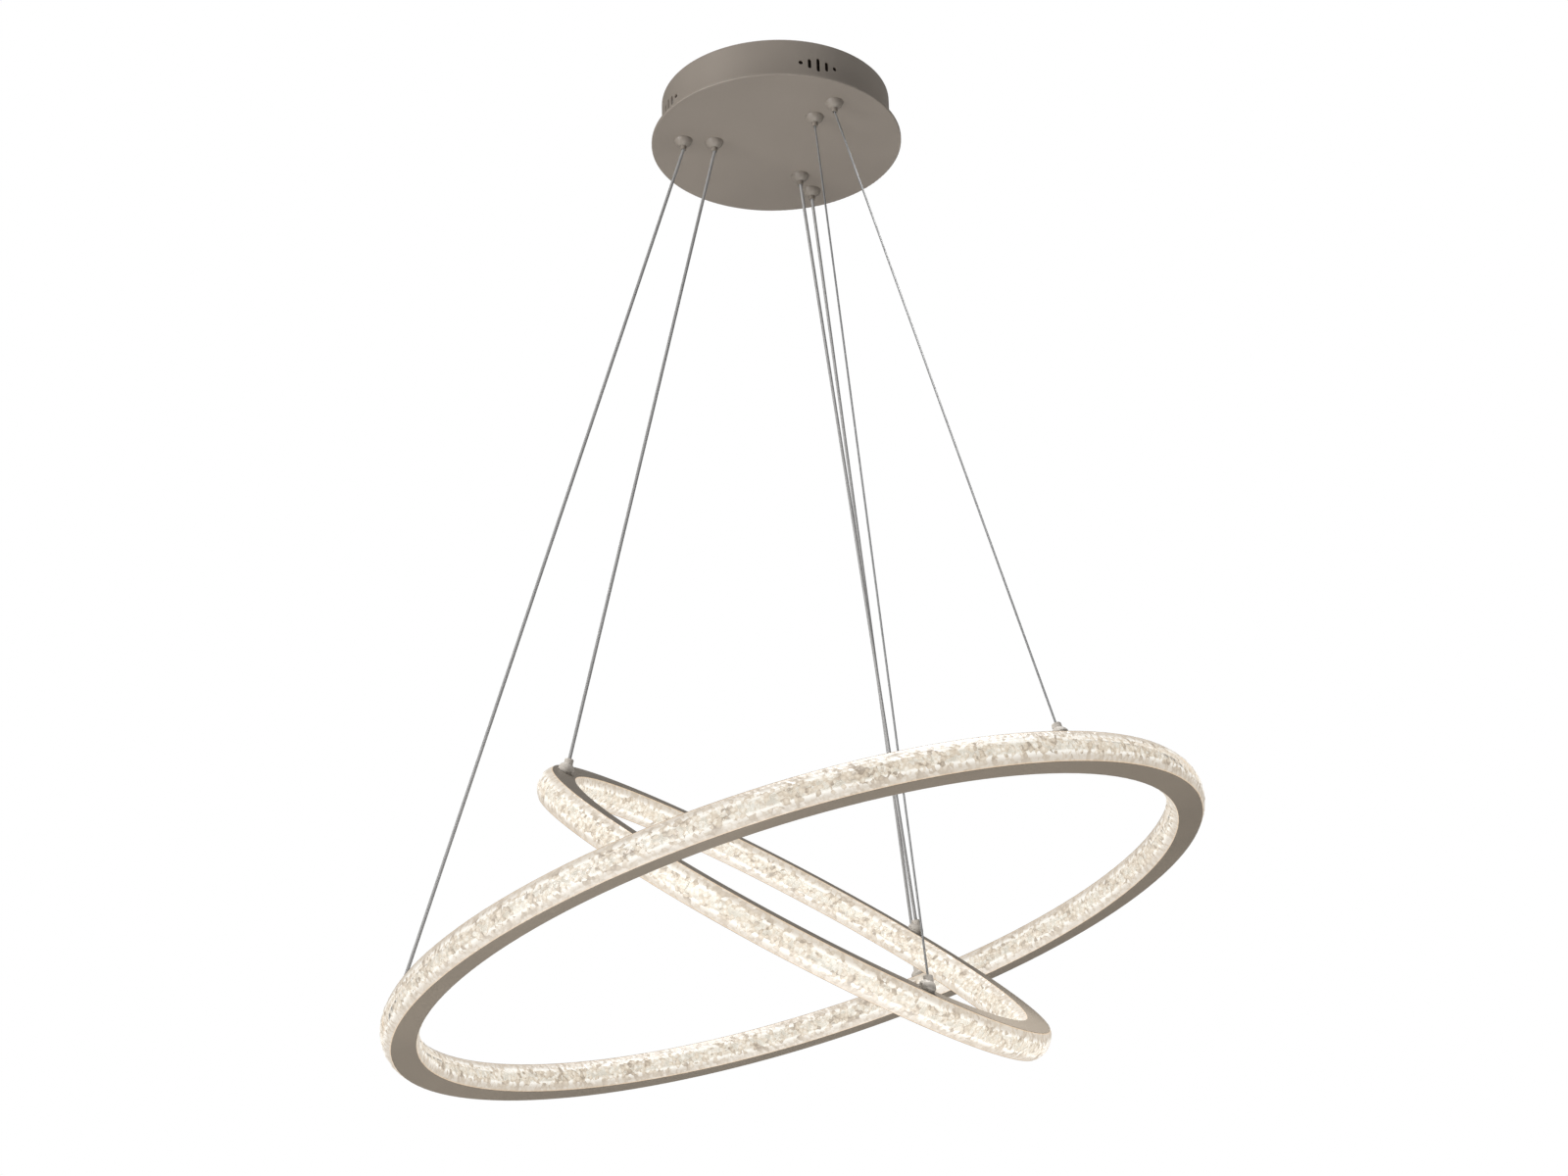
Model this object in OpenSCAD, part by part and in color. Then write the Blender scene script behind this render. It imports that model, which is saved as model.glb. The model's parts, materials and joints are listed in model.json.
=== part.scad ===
// Pendant light with two tilted glowing rings that hang on six wires from a round ceiling canopy.
// Millimetres, +Z up, seen from the front along +Y. The origin is on the canopy's axis, at the ceiling.

/* [Canopy] */
// Diameter of the flat disc that closes the canopy below
disc_d = 200; // [192:1:240]
// Thickness of the disc
disc_t = 2; // [1.5:0.1:3]
// Outer diameter of the drum wall
drum_d = 183; // [178:1:188]
// Sheet thickness of the drum
drum_t = 1; // [0.8:0.1:1.6]
// Height from the ceiling to the underside of the disc
canopy_h = 38; // [36:1:60]
// Width of the drum's inward foot
foot_w = 9; // [8:0.5:11]

/* [Vents] */
// Number of groups of vents round the drum
vent_groups = 4; // [2:1:4]
// Width of each vent
vent_w = 3; // [2:0.1:4]
// Height of the middle vent of a group
vent_long = 12; // [9:0.5:14]
// Height of the vents beside the middle one
vent_short = 8.5; // [5:0.5:9]
// Diameter of the round vents at the ends of a group
vent_d = 3.6; // [3:0.1:4.4]
// Distance between vents along the wall
vent_pitch = 7.2; // [6:0.1:8]
// Depth of the vents' centres below the ceiling
vent_depth = 20; // [17:0.5:22]
// Turn of the first vent group from +X
vent_az = 22; // [18:1:30]

/* [Ceiling bracket] */
// Width of the bracket bar
bar_w = 20; // [16:1:26]
// Thickness of the bracket bar
bar_t = 1.8; // [1.2:0.1:2.5]
// Height of the bent tabs
tab_h = 13; // [11:0.5:15]
// Distance between the centres of the two mounting slots
slot_spacing = 70; // [60:1:90]
// Length of a mounting slot
slot_l = 20; // [12:1:24]
// Width of a mounting slot
slot_w = 4.5; // [4:0.1:6]
// Diameter of the mains cable hole
inlet_d = 12; // [8:0.5:14]

/* [Large ring] */
// Outer diameter of the large ring's frame
large_d = 600; // [560:5:700]
// Drop from the disc's underside to the large ring's centre
large_drop = 659; // [600:1:900]
// Tilt of the large ring
large_tilt = 15.6; // [5:0.1:20]
// Direction in which the large ring hangs lowest
large_low = 187; // [180:1:200]
// Number of light chips on each of its strips
large_chips = 60; // [48:1:90]

/* [Small ring] */
// Outer diameter of the small ring's frame
small_d = 400; // [360:5:440]
// Drop from the disc's underside to the small ring's centre
small_drop = 644.5; // [600:0.5:880]
// Tilt of the small ring
small_tilt = 38; // [20:0.5:42]
// Direction in which the small ring hangs lowest
small_low = 322.5; // [310:0.5:330]
// How far the small ring hangs off the axis, to the right
small_off_x = -2.5; // [-5:0.5:5]
// How far the small ring hangs off the axis, to the back
small_off_y = -2; // [-5:0.5:5]
// Number of light chips on each of its strips
small_chips = 40; // [36:1:60]

/* [Ring section] */
// Width of the flat top and bottom faces
flange_w = 18; // [17:0.5:24]
// Thickness of those faces
flange_t = 1.2; // [1:0.1:1.6]
// Height of the ring frame
frame_h = 22; // [20:0.5:28]
// Width of the closed wiring duct in the middle
duct_w = 10; // [9.5:0.1:10.6]
// Wall of the duct
duct_t = 1; // [0.8:0.05:1.1]
// Height and width of the rib that holds a diffuser's foot
rib = 0.8; // [0.5:0.1:1]
// How far a diffuser bulges past the frame
bulge = 5; // [3:0.5:7]
// Wall of the diffusers
diffuser_t = 2; // [1.2:0.1:2.4]
// Length of the splice that closes the rolled frame
splice_l = 60; // [40:1:90]

/* [Light strips] */
// Width of a light strip
strip_w = 12; // [8:0.5:14]
// Thickness of a light strip
strip_t = 0.6; // [0.4:0.1:0.8]
// Width and height of a light chip
chip_w = 5; // [3:0.1:5]
// Thickness of a light chip
chip_t = 0.9; // [0.6:0.1:1]

/* [Wires] */
// Turn of the first pair of wires from +X
wire_az = 68; // [60:1:75]
// Distance of the large ring's wires from the axis, at the canopy
outer_exit_r = 75; // [72:1:78]
// Distance of the small ring's wires from the axis, at the canopy
inner_exit_r = 50; // [46:1:52]
// Diameter of a wire that carries current, with its coat
coated_d = 2.5; // [1.6:0.1:2.8]
// Diameter of a bare steel wire
steel_d = 1.5; // [0.8:0.1:1.8]
// Diameter of the bead pressed on a wire's lower end
bead_d = 4.2; // [3.8:0.1:4.4]
// Play along the wire between its bead and the mouth of its seat
bead_play = 0.9; // [0.7:0.1:1.2]

/* [Grippers] */
// Diameter of a gripper's dome under the disc
dome_d = 15; // [14:0.5:18]
// Height of a gripper's dome
dome_h = 6; // [5:0.5:8]
// Diameter of a gripper's threaded shank
shank_d = 10; // [9.8:0.1:12]
// Height of the shank above the disc's underside
shank_h = 12.5; // [12:0.5:14]
// Diameter of the plunger inside the gripper
plunger_d = 5.9; // [5.6:0.1:6.2]
// Diameter of the plunger's tip
tip_d = 4.8; // [4.6:0.1:5]
// How far the plunger's tip stands out of the dome
tip_out = 3; // [2.6:0.1:4]
// Travel of the plunger
travel = 2; // [1.5:0.1:2.2]

/* [Wire lugs] */
// Diameter of a lug on a ring
lug_d = 12; // [11:0.5:15]
// Height of a lug
lug_h = 7; // [6.5:0.5:8]
// Diameter of a lug's nozzle
nozzle_d = 6.6; // [6.4:0.1:7.4]
// Length of a lug's nozzle from the bead's centre
nozzle_l = 5.5; // [5:0.1:7]
// Diameter of a lug's threaded stud
stud_d = 4; // [3:0.1:4.4]

/* [Driver] */
// Length of the driver
driver_l = 120; // [90:1:124]
// Width of the driver
driver_w = 38; // [30:1:40]
// Height of the driver
driver_h = 21; // [18:0.5:24]

/* [Hidden] */

$fn = 48;
LARGE = 0;
SMALL = 1;
BACK = 0;
LEFT = 1;
FRONT = 2;
through = 1;                       // how far a cut runs past a face
fit = 0.05;                        // running clearance of a sliding piece
ease = 0.1;                        // clearance of a piece that is only laid in
touch = 0.03;                      // gap between a ball and what it bears on
gap = 0.3;                         // gap between a wire and its upright tail

// Colours of the painted sheet, the frames, the steel, the brass and the glowing diffusers
taupe = [0.52, 0.48, 0.43];
steel = [0.72, 0.72, 0.73];
brass = [0.80, 0.66, 0.35];
copper = [0.78, 0.47, 0.30];
pale = [0.93, 0.90, 0.83];
board = [0.20, 0.42, 0.28];
glow = [1.00, 0.95, 0.85];
coat = [0.70, 0.70, 0.72];

// Heights in the canopy
disc_z = -canopy_h;
disc_top = disc_z + disc_t;
drum_r = drum_d / 2;

// The two rings: frame radius, centre, tilt, low side and number of chips
ring_r = [large_d / 2, small_d / 2];
ring_centre = [[0, 0, disc_z - large_drop], [small_off_x, small_off_y, disc_z - small_drop]];
ring_tilt = [large_tilt, small_tilt];
ring_low = [large_low, small_low];
chips = [large_chips, small_chips];
exit_r = [outer_exit_r, inner_exit_r];
lug_turn = [1, -2.5];              // a ring's own turn against its wires' exits

// The three wires of a ring; the front one is bare steel and carries no current
side_step = 120;
wire_r = [coated_d / 2, coated_d / 2, steel_d / 2];
carries = [BACK, LEFT];
function side_az(side) = wire_az + side * side_step;
function lug_az(ring, side) = side_az(side) + lug_turn[ring];

// The middle of the ring section, and the duct's inner width and height
function mid_r(ring) = ring_r[ring] - flange_w / 2;
duct_in = duct_w - 2 * duct_t;
channel_h = frame_h - 2 * flange_t;

// The seat of the bead in a lug
bead_r = bead_d / 2;
seat_h = 4;                        // height of the bead's centre over the frame
seat_r = bead_r + 0.35;
seat_back = 2.4;
mouth_ease = 0.5;                  // clearance of a wire in its mouth and in its plunger

// Places of the wires' ends, as points
function turn_z(v, a) = [v.x * cos(a) - v.y * sin(a), v.x * sin(a) + v.y * cos(a), v.z];
function turn_y(v, a) = [v.x * cos(a) + v.z * sin(a), v.y, v.z * cos(a) - v.x * sin(a)];
function tilted(ring, v) = turn_z(turn_y(turn_z(v, -ring_low[ring]), ring_tilt[ring]), ring_low[ring]);
function polar(r, a, z) = [r * cos(a), r * sin(a), z];
function bead_at(ring, side) = ring_centre[ring]
    + tilted(ring, polar(mid_r(ring), lug_az(ring, side), frame_h / 2 + seat_h));
pivot_in = 0.6;                    // height of the wire's bend inside the plunger's mouth
mouth_z = disc_z - dome_h - tip_out;
pivot_z = mouth_z + pivot_in;
function pivot_at(ring, side) = polar(exit_r[ring], side_az(side), pivot_z);
function unit(v) = v / norm(v);
function wire_dir(ring, side) = unit(pivot_at(ring, side) - bead_at(ring, side));
tail_z = pivot_z + coated_d / 4 + gap;
tail_end = disc_z + shank_h + 1.2;

// Inside a gripper: a cone holds three balls on the wire, the plunger lies under them, a spring above
cone_a = 12;
dome_wall = 1.5;
bore_r = plunger_d / 2 + fit;
cone_z = disc_z;
pinch_r = bore_r + 0.578;          // the cone's radius at the balls' centres
ball_z = cone_z + (pinch_r - bore_r) / tan(cone_a);
function ball_r(side) = (pinch_r - wire_r[side] - touch - touch / cos(cone_a)) / (1 + 1 / cos(cone_a));
function ball_orbit(side) = wire_r[side] + ball_r(side) + touch;
spring_r = pinch_r + 0.6;
cone_top = cone_z + (spring_r - bore_r) / tan(cone_a);
lip_t = 1;
lip_z = disc_z + shank_h - lip_t;
cap_z = lip_z - 1;
coil_wire = 0.6;                   // diameter of the spring's wire
coils = 5;
coil_steps = 8;
coil_sides = 6;
shank_r = shank_d / 2;
nut_h = 3;
nut_flats = 4;                     // how much a gripper's nut is wider than its shank
hex_fn = 6;

// Studs welded on the disc for the drum, the driver, the terminal block and the earth
weld_d = 4;
weld_h = 6;
weld_count = 4;
weld_az = 45;
weld_r = drum_r - drum_t - foot_w / 2;
weld_nut_h = 3;
weld_nut_d = 7.6;
inner_turn = wire_az - side_step / 2;   // the driver lies square to the left pair of wires
driver_x = -11;
ear = 8;
ear_t = 1.5;
case_t = 1.5;
lid_lip = 1.6;
port_w = 16;                       // width of the slots for the leads in the driver's ends
lead_end = driver_l / 2 - 3;       // where the leads end in the driver
board_z = 2;
board_t = 1.6;
socket_l = 9;
can_d = 12;                        // diameter of the driver's two capacitors
block_l = 32;
block_w = 18;
block_h = 14;
block_x = 47;
pole_pitch = 10;
pole_d = 4;
earth_x = 71;
earth_l = 11;                      // from the earth stud to the end of its tag
lead_r = 1;
lead_h = 17;                       // height of the leads over the disc's underside
lead_z = disc_z + lead_h;
lead_sides = 8;

// Places and moves
module along(p, q) {
    d = q - p;
    translate(p) rotate([0, acos(d.z / norm(d)), atan2(d.y, d.x)]) children();
}

module rod(p, q, r) along(p, q) cylinder(h = norm(q - p), r = r);

module in_ring(ring) translate(ring_centre[ring]) rotate([0, 0, ring_low[ring]])
    rotate([0, ring_tilt[ring], 0]) rotate([0, 0, -ring_low[ring]]) children();

module at_lug(ring, side) in_ring(ring) rotate([0, 0, lug_az(ring, side)])
    translate([mid_r(ring), 0, frame_h / 2]) children();

module at_gripper(ring, side) translate(polar(exit_r[ring], side_az(side), 0)) children();

module at_grippers() for (ring = [LARGE, SMALL], side = [BACK, LEFT, FRONT]) at_gripper(ring, side)
    children();

module at_welds() for (i = [0 : weld_count - 1]) rotate([0, 0, weld_az + i * 360 / weld_count])
    translate([weld_r, 0, disc_top]) children();

module inside() rotate([0, 0, inner_turn]) children();

module hex(flats, h) cylinder(h = h, d = flats / cos(180 / hex_fn), $fn = hex_fn);

module nut(flats, hole_d, h) difference() {
    hex(flats, h);
    translate([0, 0, -through]) cylinder(h = h + 2 * through, d = hole_d);
}

// Canopy
tab_x = sqrt(pow(drum_r - drum_t, 2) - pow(bar_w / 2, 2)) - ease;
screw_z = -tab_h + 5;
screw_d = 4;
screw_l = 6;                       // from the tab's outer face to the screw's tip
head_d = 6.4;
sunk = 0.2;                        // depth of a screw's head under the drum's surface

module slot(l, w) {
    for (s = [-1, 1]) translate([s * (l - w) / 2, 0]) circle(d = w);
    square([l - w, w], center = true);
}

module ceiling_bracket() color(steel) difference() {
    union() {
        translate([-tab_x, -bar_w / 2, -bar_t]) cube([2 * tab_x, bar_w, bar_t]);
        for (s = [-1, 1]) translate([s > 0 ? tab_x - bar_t : -tab_x, -bar_w / 2, -tab_h])
            cube([bar_t, bar_w, tab_h]);
    }
    translate([0, 0, -bar_t - through]) {
        cylinder(h = bar_t + 2 * through, d = inlet_d);
        linear_extrude(bar_t + 2 * through) for (s = [-1, 1]) translate([s * slot_spacing / 2, 0])
            slot(slot_l, slot_w);
    }
    for (s = [-1, 1]) translate([s * tab_x, 0, screw_z]) rotate([0, 90, 0])
        cylinder(h = 3 * bar_t, d = screw_d + 2 * fit, center = true);
}

module vent_group() for (i = [-2 : 2]) rotate([0, 0, i * vent_pitch / drum_r * 180 / PI])
    translate([drum_r, 0, -vent_depth]) rotate([0, 90, 0]) linear_extrude(4 * drum_t, center = true) {
        if (abs(i) == 2) circle(d = vent_d);
        else slot(i == 0 ? vent_long : vent_short, vent_w);
    }

module canopy_drum() color(taupe) difference() {
    union() {
        difference() {
            translate([0, 0, disc_top]) cylinder(h = -disc_top, r = drum_r, $fn = 128);
            translate([0, 0, disc_top - through])
                cylinder(h = 2 * through - disc_top, r = drum_r - drum_t, $fn = 128);
        }
        difference() {
            translate([0, 0, disc_top]) cylinder(h = drum_t, r = drum_r, $fn = 128);
            translate([0, 0, disc_top - through])
                cylinder(h = drum_t + 2 * through, r = drum_r - drum_t - foot_w, $fn = 128);
        }
    }
    for (i = [0 : vent_groups - 1]) rotate([0, 0, vent_az + i * 360 / vent_groups]) vent_group();
    at_welds() translate([0, 0, -through]) cylinder(h = drum_t + 2 * through, d = weld_d + 4 * ease);
    at_grippers() translate([0, 0, disc_top - through])
        cylinder(h = nut_h, d = (shank_d + nut_flats) / cos(180 / hex_fn) + 4 * ease);
    for (s = [-1, 1]) translate([0, 0, screw_z]) rotate([0, s * 90, 0]) translate([0, 0, tab_x])
        cylinder(h = drum_r - tab_x + sunk, d1 = screw_d + 2 * ease, d2 = head_d + 8 * ease);
}

edge_r = 0.6;                      // rounding of the disc's lower edge

module canopy_disc() color(taupe) difference() {
    translate([0, 0, disc_z]) rotate_extrude($fn = 128) {
        square([disc_d / 2 - edge_r, disc_t]);
        translate([0, edge_r]) square([disc_d / 2, disc_t - edge_r]);
        translate([disc_d / 2 - edge_r, edge_r]) circle(r = edge_r);
    }
    at_grippers() translate([0, 0, disc_z - through])
        cylinder(h = disc_t + 2 * through, d = shank_d + 2 * ease);
}

// Threaded studs, each welded to the disc at its foot
module canopy_studs() color(steel) {
    at_welds() cylinder(h = weld_h, d = weld_d);
    at_driver_ears() cylinder(h = weld_h, d = weld_d);
    inside() translate([earth_x, 0, disc_top]) cylinder(h = weld_h, d = weld_d);
}

// The screws' flat heads lie flush in countersunk holes in the drum
module side_screws() color(steel) for (s = [-1, 1]) translate([0, 0, screw_z]) rotate([0, s * 90, 0])
    difference() {
        union() {
            translate([0, 0, tab_x - screw_l]) cylinder(h = screw_l, d = screw_d);
            translate([0, 0, tab_x]) cylinder(h = drum_r - tab_x - sunk, d1 = screw_d, d2 = head_d);
        }
        translate([0, 0, drum_r]) cube([2 * head_d, 1, 1.2], center = true);
    }

module weld_nut() nut(weld_nut_d, weld_d + 2 * fit, weld_nut_h);

module drum_nuts() color(steel) at_welds() translate([0, 0, drum_t]) weld_nut();

// Driver, terminals and leads inside the canopy
module at_driver_ears() inside() for (s = [-1, 1])
    translate([driver_x, s * (driver_l / 2 + ear / 2), disc_top]) children();

module driver_case() color(pale) inside() translate([driver_x, 0, disc_top]) difference() {
    union() {
        translate([-driver_w / 2, -driver_l / 2, 0]) cube([driver_w, driver_l, driver_h - case_t]);
        translate([-driver_w / 4, -driver_l / 2 - ear, 0]) cube([driver_w / 2, driver_l + 2 * ear, ear_t]);
    }
    translate([-driver_w / 2 + case_t, -driver_l / 2 + case_t, case_t])
        cube([driver_w - 2 * case_t, driver_l - 2 * case_t, driver_h]);
    for (s = [-1, 1]) {
        translate([0, s * (driver_l + ear) / 2, -through])
            cylinder(h = ear_t + 2 * through, d = weld_d + 4 * ease);
        translate([0, s * driver_l / 2, lead_z - disc_top]) rotate([90, 0, 0])
            linear_extrude(4 * case_t, center = true) slot(port_w, coated_d + 4 * ease);
    }
}

module driver_lid() color(pale) inside() translate([driver_x, 0, disc_top + driver_h - case_t]) {
    inset = case_t + ease;
    lip_w = driver_w - 2 * inset;
    lip_l = driver_l - 2 * inset;
    translate([-driver_w / 2, -driver_l / 2, 0]) cube([driver_w, driver_l, case_t]);
    translate([0, 0, -lid_lip / 2]) difference() {
        cube([lip_w, lip_l, lid_lip], center = true);
        cube([lip_w - 2 * case_t, lip_l - 2 * case_t, lid_lip + through], center = true);
    }
}

// The board carries a terminal at each end, a transformer and two capacitors
module driver_board() color(board) inside() translate([driver_x, 0, disc_top + case_t]) {
    board_w = driver_w - 2 * case_t - 2 * ease;
    board_l = driver_l - 2 * case_t - 2 * ease;
    top = board_z + board_t;
    socket_h = lead_z + coated_d - disc_top - case_t - top;
    for (x = [-1, 1], y = [-1, 1]) translate([x * board_w / 3, y * board_l / 3, 0])
        cylinder(h = board_z, d = 4);
    translate([-board_w / 2, -board_l / 2, board_z]) cube([board_w, board_l, board_t]);
    for (s = [-1, 1]) translate([-port_w / 2, s > 0 ? lead_end - socket_l : -lead_end, top])
        cube([port_w, socket_l, socket_h]);
    translate([-board_w / 3, -socket_l, top]) cube([board_w * 2 / 3, 2 * socket_l, socket_h]);
    for (s = [-1, 1]) translate([0, s * driver_l / 4, top]) cylinder(h = socket_h, d = can_d);
}

module driver_nuts() color(steel) at_driver_ears() translate([0, 0, ear_t]) weld_nut();

module at_poles() for (i = [-1 : 1]) translate([0, i * pole_pitch, 0]) children();

module terminal_block() color(pale) inside() translate([block_x, 0, disc_top]) difference() {
    translate([-block_w / 2, -block_l / 2, 0]) cube([block_w, block_l, block_h]);
    at_poles() {
        translate([0, 0, block_h / 2]) rotate([0, 90, 0])
            cylinder(h = block_w + 2 * through, d = pole_d, center = true);
        for (s = [-1, 1]) translate([s * block_w / 4, 0, block_h / 2]) cylinder(h = block_h, d = pole_d);
    }
}

module terminal_screws() color(steel) inside() translate([block_x, 0, disc_top + block_h / 2])
    at_poles() for (s = [-1, 1]) translate([s * block_w / 4, 0, lead_r + ease])
        cylinder(h = block_h / 2 - lead_r - 2 * ease, d = pole_d - 2 * fit);

tag_t = 0.8;

module earth_tag() color(brass) inside() translate([earth_x, 0, disc_top]) {
    difference() {
        union() {
            cylinder(h = tag_t, d = 2 * weld_d);
            translate([-earth_l, -weld_d / 2, 0]) cube([earth_l, weld_d, tag_t]);
        }
        translate([0, 0, -through]) cylinder(h = 3 * through, d = weld_d + 2 * ease);
    }
    translate([0, 0, tag_t]) weld_nut();
}

// Leads as they lie, seen from the front of the driver: two from the terminals, one from the earth
// tag, and one from each coated wire's tail. Each corner is rounded by a short curve.
pole_z = disc_top + block_h / 2;
mains_routes = [
    [[block_x - 1, pole_pitch, pole_z], [30, pole_pitch, pole_z], [20, 0, pole_z],
     [10.2, -20, pole_z], [10.2, -64, lead_z], [-7, -68, lead_z], [-7, -lead_end, lead_z]],
    [[block_x - 1, -pole_pitch, pole_z], [30, -pole_pitch, pole_z], [14.2, -28, pole_z],
     [14.2, -68, lead_z], [4, -76, lead_z], [-15, -76, lead_z], [-15, -lead_end, lead_z]],
    [[block_x + 1, 0, pole_z], [63, 0, pole_z], [63, 0, disc_top + tag_t]]
];
function tail_top(ring, side) = turn_z(polar(exit_r[ring], side_az(side), tail_end), -inner_turn);
function rise(p) = [p, [p.x, p.y, lead_z]];
wire_routes = [
    concat(rise(tail_top(LARGE, BACK)), [[20, 77, lead_z], [-9, 77, lead_z], [-9, lead_end, lead_z]]),
    concat(rise(tail_top(SMALL, BACK)), [[10, 69, lead_z], [-5, 69, lead_z], [-5, lead_end, lead_z]]),
    concat(rise(tail_top(SMALL, LEFT)), [[-37, 40, lead_z], [-30, 69, lead_z], [-17, 69, lead_z],
                                         [-17, lead_end, lead_z]]),
    concat(rise(tail_top(LARGE, LEFT)), [[-56, 48, lead_z], [-34, 77, lead_z], [-13, 77, lead_z],
                                         [-13, lead_end, lead_z]])
];

function square_to(v, t) = unit(v - (v * t) * t);
function bend(a, p, b) =
    let (c = min(6, 0.45 * norm(a - p), 0.45 * norm(b - p)))
    let (u = p + c * unit(a - p), w = p + c * unit(b - p)) [u, (u + 2 * p + w) / 4, w];
function rounded(p) = concat([p[0]],
    [for (i = [1 : len(p) - 2]) each bend(p[i - 1], p[i], p[i + 1])], [p[len(p) - 1]]);
function way(p, i) = unit(p[min(i + 1, len(p) - 1)] - p[max(i - 1, 0)]);

// A tube swept along points, with flat ends; its rings keep one side turned to v
module tube(p, r, v, sides) {
    n = len(p);
    t = [for (i = [0 : n - 1]) i == 0 ? unit(p[1] - p[0]) : i == n - 1 ? unit(p[i] - p[i - 1]) : way(p, i)];
    u = [for (i = 0, w = square_to(v, t[0]); i < n; i = i + 1, w = i < n ? square_to(w, t[i]) : w) w];
    rings = [for (i = [0 : n - 1], k = [0 : sides - 1]) let (a = k * 360 / sides)
        p[i] + r * (cos(a) * u[i] + sin(a) * cross(t[i], u[i]))];
    function at(i, k) = i * sides + k % sides;
    walls = [for (i = [0 : n - 2], k = [0 : sides - 1])
        each [[at(i, k), at(i + 1, k), at(i + 1, k + 1)], [at(i, k), at(i + 1, k + 1), at(i, k + 1)]]];
    ends = [for (k = [1 : sides - 2]) each [[at(0, 0), at(0, k), at(0, k + 1)],
        [at(n - 1, 0), at(n - 1, k + 1), at(n - 1, k)]]];
    polyhedron(rings, concat(walls, ends));
}

module canopy_leads() inside() {
    color(copper) for (route = mains_routes) tube(rounded(route), lead_r, [0.3, 0.2, 1], lead_sides);
    color(coat) for (route = wire_routes) tube(rounded(route), coated_d / 2, [1, 0.3, 0], lead_sides);
}

// A wire goes on above its gripper: the coated ones to the driver, the bare ones end in a short stub
module wire_tails() color(coat) for (ring = [LARGE, SMALL], side = [BACK, LEFT, FRONT])
    at_gripper(ring, side) translate([0, 0, tail_z]) cylinder(h = tail_end - tail_z, r = wire_r[side]);

// Grippers
module gripper_bodies() color(taupe) at_grippers() difference() {
    union() {
        translate([0, 0, disc_z]) intersection() {
            scale_h = dome_d / 2;
            translate([0, 0, scale_h - dome_h]) sphere(r = scale_h);
            translate([0, 0, -dome_h]) cylinder(h = dome_h, d = dome_d);
        }
        translate([0, 0, disc_z]) cylinder(h = lip_z - disc_z, d = shank_d);
    }
    translate([0, 0, disc_z - dome_h - through]) cylinder(h = dome_h, d = tip_d + 2 * ease);
    seat = disc_z - dome_h + dome_wall;
    rotate_extrude() polygon([[0, seat], [bore_r, seat], [bore_r, cone_z], [spring_r, cone_top],
                              [spring_r, lip_z + through], [0, lip_z + through]]);
}

// A cap pressed into the shank's top; the spring bears on it
module gripper_caps() color(brass) at_grippers() difference() {
    union() {
        translate([0, 0, cap_z]) cylinder(h = lip_z - cap_z + ease, r = spring_r - fit);
        translate([0, 0, lip_z]) cylinder(h = lip_t, d = shank_d);
    }
    translate([0, 0, cap_z - through]) cylinder(h = shank_h, r = coated_d / 2 + mouth_ease);
}

module gripper_nuts() color(steel) at_grippers() translate([0, 0, disc_top])
    nut(shank_d + nut_flats, shank_d + 2 * fit, nut_h);

module plunger(ring, side) color(brass) at_gripper(ring, side) {
    top = ball_z - ball_r(side) - touch;
    seat = disc_z - dome_h + dome_wall;
    difference() {
        union() {
            translate([0, 0, mouth_z]) cylinder(h = seat - mouth_z + through, d = tip_d);
            translate([0, 0, seat]) cylinder(h = top - seat, d = plunger_d);
        }
        translate([0, 0, mouth_z - through])
            cylinder(h = top - mouth_z + 2 * through, r = wire_r[side] + mouth_ease);
    }
}

module balls(ring, side) color(steel) at_gripper(ring, side) for (i = [0 : 2])
    rotate([0, 0, i * 120]) translate([ball_orbit(side), 0, ball_z]) sphere(r = ball_r(side));

// A coil from the balls up to the cap
module spring(ring, side) color(steel) at_gripper(ring, side) {
    low = ball_z + ball_r(side) + touch + coil_wire / 2;
    high = cap_z - touch - coil_wire / 2;
    coil_r = spring_r - 2 * ease - coil_wire / 2;
    n = coils * coil_steps;
    echo(gap_between_curls = (high - low) / coils - coil_wire);
    tube([for (i = [0 : n]) polar(coil_r, i * 360 / coil_steps, low + (high - low) * i / n)],
         coil_wire / 2, [0, 0, 1], coil_sides);
}

// A wire leans from its bead up to the gripper's tip, where it meets its own upright tail
module wire(ring, side) color(side == FRONT ? steel : coat) {
    translate(bead_at(ring, side)) sphere(r = bead_r);
    rod(bead_at(ring, side), pivot_at(ring, side), wire_r[side]);
}

// Rings
module ring_frame(ring) color(taupe) difference() {
    in_ring(ring) rotate_extrude($fn = 180) translate([mid_r(ring), 0]) difference() {
        union() {
            for (s = [-1, 1]) translate([0, s * (frame_h - flange_t) / 2])
                square([flange_w, flange_t], center = true);
            square([duct_w, frame_h], center = true);
            for (s = [-1, 1], t = [-1, 1]) translate([s * rib_x, t * (channel_h - rib) / 2])
                square([rib, rib + ease], center = true);
        }
        square([duct_in, channel_h], center = true);
    }
    for (side = [BACK, LEFT, FRONT]) at_lug(ring, side)
        translate([0, 0, -flange_t - through]) cylinder(h = flange_t + 2 * through, d = stud_d + 2 * ease);
    in_ring(ring) for (side = carries) rotate([0, 0, lug_az(ring, side) + lead_turn])
        translate([mid_r(ring), 0, 0]) rotate([0, 90, 0])
            cylinder(h = duct_w + 2 * through, r = lead_r + ease, center = true);
}

foot_l = 2.4;                      // how far a diffuser's foot reaches in between the faces
foot_t = 1.4;
rib_x = flange_w / 2 - foot_l - ease - rib / 2;
lead_turn = 4;                     // the leads run this far along the duct from a lug

module ring_splice(ring) color(steel) in_ring(ring) {
    turn = splice_l / mid_r(ring) * 180 / PI;
    rotate([0, 0, lug_az(ring, LEFT) + side_step / 2 - turn / 2])
        rotate_extrude(angle = turn, $fn = 180) translate([mid_r(ring), 0])
            square([duct_in - 2 * ease, channel_h - 2 * ease], center = true);
}

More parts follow.
